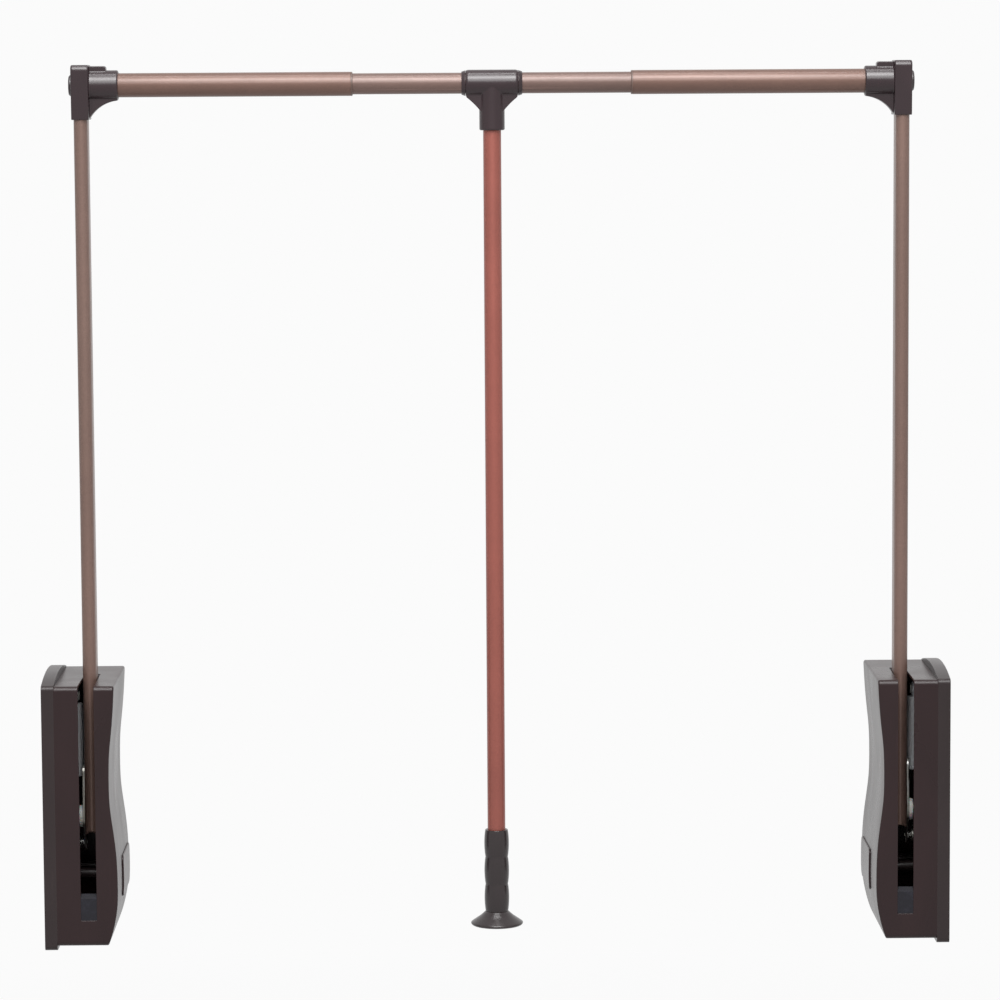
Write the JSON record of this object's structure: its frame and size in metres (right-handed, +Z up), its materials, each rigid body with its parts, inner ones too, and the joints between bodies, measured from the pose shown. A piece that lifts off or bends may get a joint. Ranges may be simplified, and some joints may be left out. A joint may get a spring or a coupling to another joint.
{
  "type": "pull down closet rod",
  "caption": "Wardrobe lift: casings on both side walls carry swinging arms and a telescopic clothes rail that a hanging pull rod brings forward and down.",
  "frame": {"origin": "on the lower edge of the wall plates, midway between the side walls and midway through the casings' depth", "axes": "+X from the left wall to the right wall, +Y from the wardrobe's front to its back, +Z up"},
  "size_m": [0.909, 0.15, 0.8844],
  "materials": {
    "housing": "dark umber grey ABS, satin",
    "housing_plate": "dark umber grey ABS, satin",
    "housing_cap": "bare cap, same ABS, satin",
    "buffer_rubber": "black rubber",
    "zinc_steel": "zinc-plated steel",
    "bearing_nylon": "natural nylon",
    "strut_black": "black lacquered steel",
    "strut_chrome": "hard-chromed steel",
    "arm_lacquer": "metallic brown lacquer",
    "rail_lacquer": "metallic rose champagne lacquer",
    "inner_rail_lacquer": "metallic rose champagne lacquer, greyer",
    "pull_rod_lacquer": "metallic copper lacquer",
    "fitting_plastic": "dark brown-black polyamide, semi-gloss",
    "guide_plastic": "rose-brown acetal, to match the rail",
    "grip_plastic": "dark brown-black plastic, semi-gloss"
  },
  "bodies": {
    "left_casing": {"left_wall_plate": "housing_plate", "left_casing_cover": "housing", "left_cover_cap": "housing_cap", "left_cover_screws": "zinc_steel", "left_stop_pad": "buffer_rubber", "left_top_buffer": "buffer_rubber", "left_pivot_axle": "zinc_steel", "left_axle_nut": "zinc_steel", "left_strut_cylinder": "strut_black", "left_strut_gland": "bearing_nylon", "left_strut_anchor_pin": "zinc_steel"},
    "left_frame": {"left_pivot_bush": "bearing_nylon", "left_crank_lever": "zinc_steel", "left_crank_pin": "zinc_steel", "left_lever_rivets": "zinc_steel", "left_arm_tube": "arm_lacquer", "left_corner_connector": "fitting_plastic", "left_corner_cap": "fitting_plastic", "left_corner_screws": "zinc_steel", "left_rail_outer_tube": "rail_lacquer", "left_rail_guide_ring": "guide_plastic"},
    "left_strut_piston_rod": {"left_strut_rod": "strut_chrome", "left_strut_rod_end": "zinc_steel", "left_strut_piston": "bearing_nylon"},
    "right_casing": {"right_wall_plate": "housing_plate", "right_casing_cover": "housing", "right_cover_cap": "housing_cap", "right_cover_screws": "zinc_steel", "right_stop_pad": "buffer_rubber", "right_top_buffer": "buffer_rubber", "right_pivot_axle": "zinc_steel", "right_axle_nut": "zinc_steel", "right_strut_cylinder": "strut_black", "right_strut_gland": "bearing_nylon", "right_strut_anchor_pin": "zinc_steel"},
    "right_frame": {"right_pivot_bush": "bearing_nylon", "right_crank_lever": "zinc_steel", "right_crank_pin": "zinc_steel", "right_lever_rivets": "zinc_steel", "right_arm_tube": "arm_lacquer", "right_corner_connector": "fitting_plastic", "right_corner_cap": "fitting_plastic", "right_corner_screws": "zinc_steel", "right_rail_outer_tube": "rail_lacquer", "right_rail_guide_ring": "guide_plastic"},
    "right_strut_piston_rod": {"right_strut_rod": "strut_chrome", "right_strut_rod_end": "zinc_steel", "right_strut_piston": "bearing_nylon"},
    "center_tube": {"rail_inner_tube": "inner_rail_lacquer", "inner_tube_plugs": "bearing_nylon", "tee_collars": "fitting_plastic"},
    "pull_rod": {"tee_connector": "fitting_plastic", "tee_screw": "zinc_steel", "pull_rod_tube": "pull_rod_lacquer", "grip": "grip_plastic", "foot": "grip_plastic"}
  },
  "joints": [
    {"name": "left_arm_swing", "type": "hinge", "parent": "left_casing", "child": "left_frame", "pos_m": [-0.41, -0.012, 0.126], "axis": [1, 0, 0], "range_deg": [0, 130], "stiffness_Nm_per_rad": 6, "springref_deg": -20.05},
    {"name": "width_adjust", "type": "slide", "parent": "left_casing", "child": "right_casing", "axis": [1, 0, 0], "range_m": [-0.209, 0.091]},
    {"name": "right_arm_swing", "type": "hinge", "parent": "right_casing", "child": "right_frame", "pos_m": [0.41, -0.012, 0.126], "axis": [1, 0, 0], "range_deg": [0, 130], "stiffness_Nm_per_rad": 6, "springref_deg": -20.05},
    {"name": "center_tube_slide", "type": "slide", "parent": "left_frame", "child": "center_tube", "axis": [1, 0, 0], "range_m": [-0.1046, 0.0456]},
    {"name": "pull_rod_swing", "type": "hinge", "parent": "center_tube", "child": "pull_rod", "pos_m": [0, -0.012, 0.864], "axis": [1, 0, 0], "range_deg": [-170, 40]},
    {"name": "left_strut_slide", "type": "slide", "parent": "left_casing", "child": "left_strut_piston_rod", "axis": [0, 0, 1], "range_m": [0, 0.0581]},
    {"name": "right_strut_slide", "type": "slide", "parent": "right_casing", "child": "right_strut_piston_rod", "axis": [0, 0, 1], "range_m": [0, 0.0581]}
  ],
  "couplings": [
    {"joint": "right_arm_swing", "follows": "left_arm_swing", "ratio": 1},
    {"joint": "center_tube_slide", "follows": "width_adjust", "ratio": 0.5},
    {"joint": "left_strut_slide", "follows": "left_arm_swing", "m_per_rad": 0.025565},
    {"joint": "right_strut_slide", "follows": "left_arm_swing", "m_per_rad": 0.025565}
  ]
}
